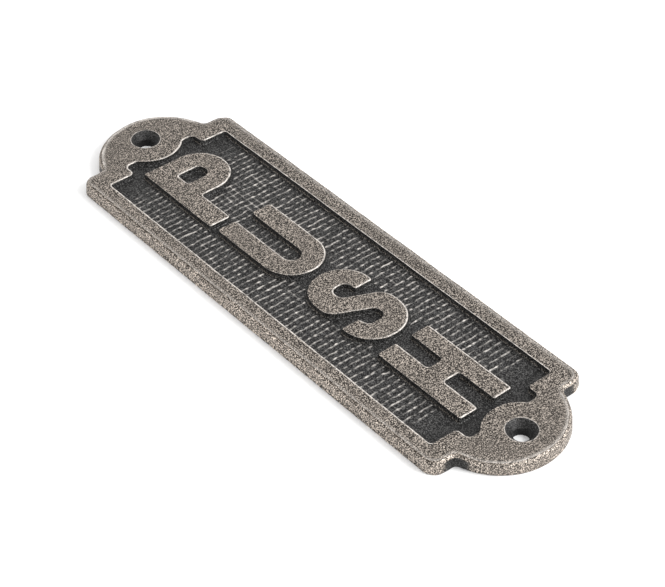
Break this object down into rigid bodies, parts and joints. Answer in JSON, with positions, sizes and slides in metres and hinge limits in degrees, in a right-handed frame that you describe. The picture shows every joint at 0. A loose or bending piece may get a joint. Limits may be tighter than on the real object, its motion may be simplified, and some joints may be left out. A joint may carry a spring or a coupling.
{
  "type": "door push sign",
  "caption": "Flat-backed cast door sign for a push side: raised border and lettering over a sunk, hatched panel, with a countersunk screw lobe at each end.",
  "frame": {"origin": "centre of the back face", "axes": "+X to the reader's right, +Y to the upper end of the sign, +Z out of the face"},
  "size_m": [0.0508, 0.1748, 0.004],
  "materials": {
    "cast_pewter": "sand-cast metal, antique pewter: dark in the sunk panel, burnished on the raised faces"
  },
  "bodies": {
    "root": {"sign_plate": "cast_pewter"}
  },
  "joints": []
}
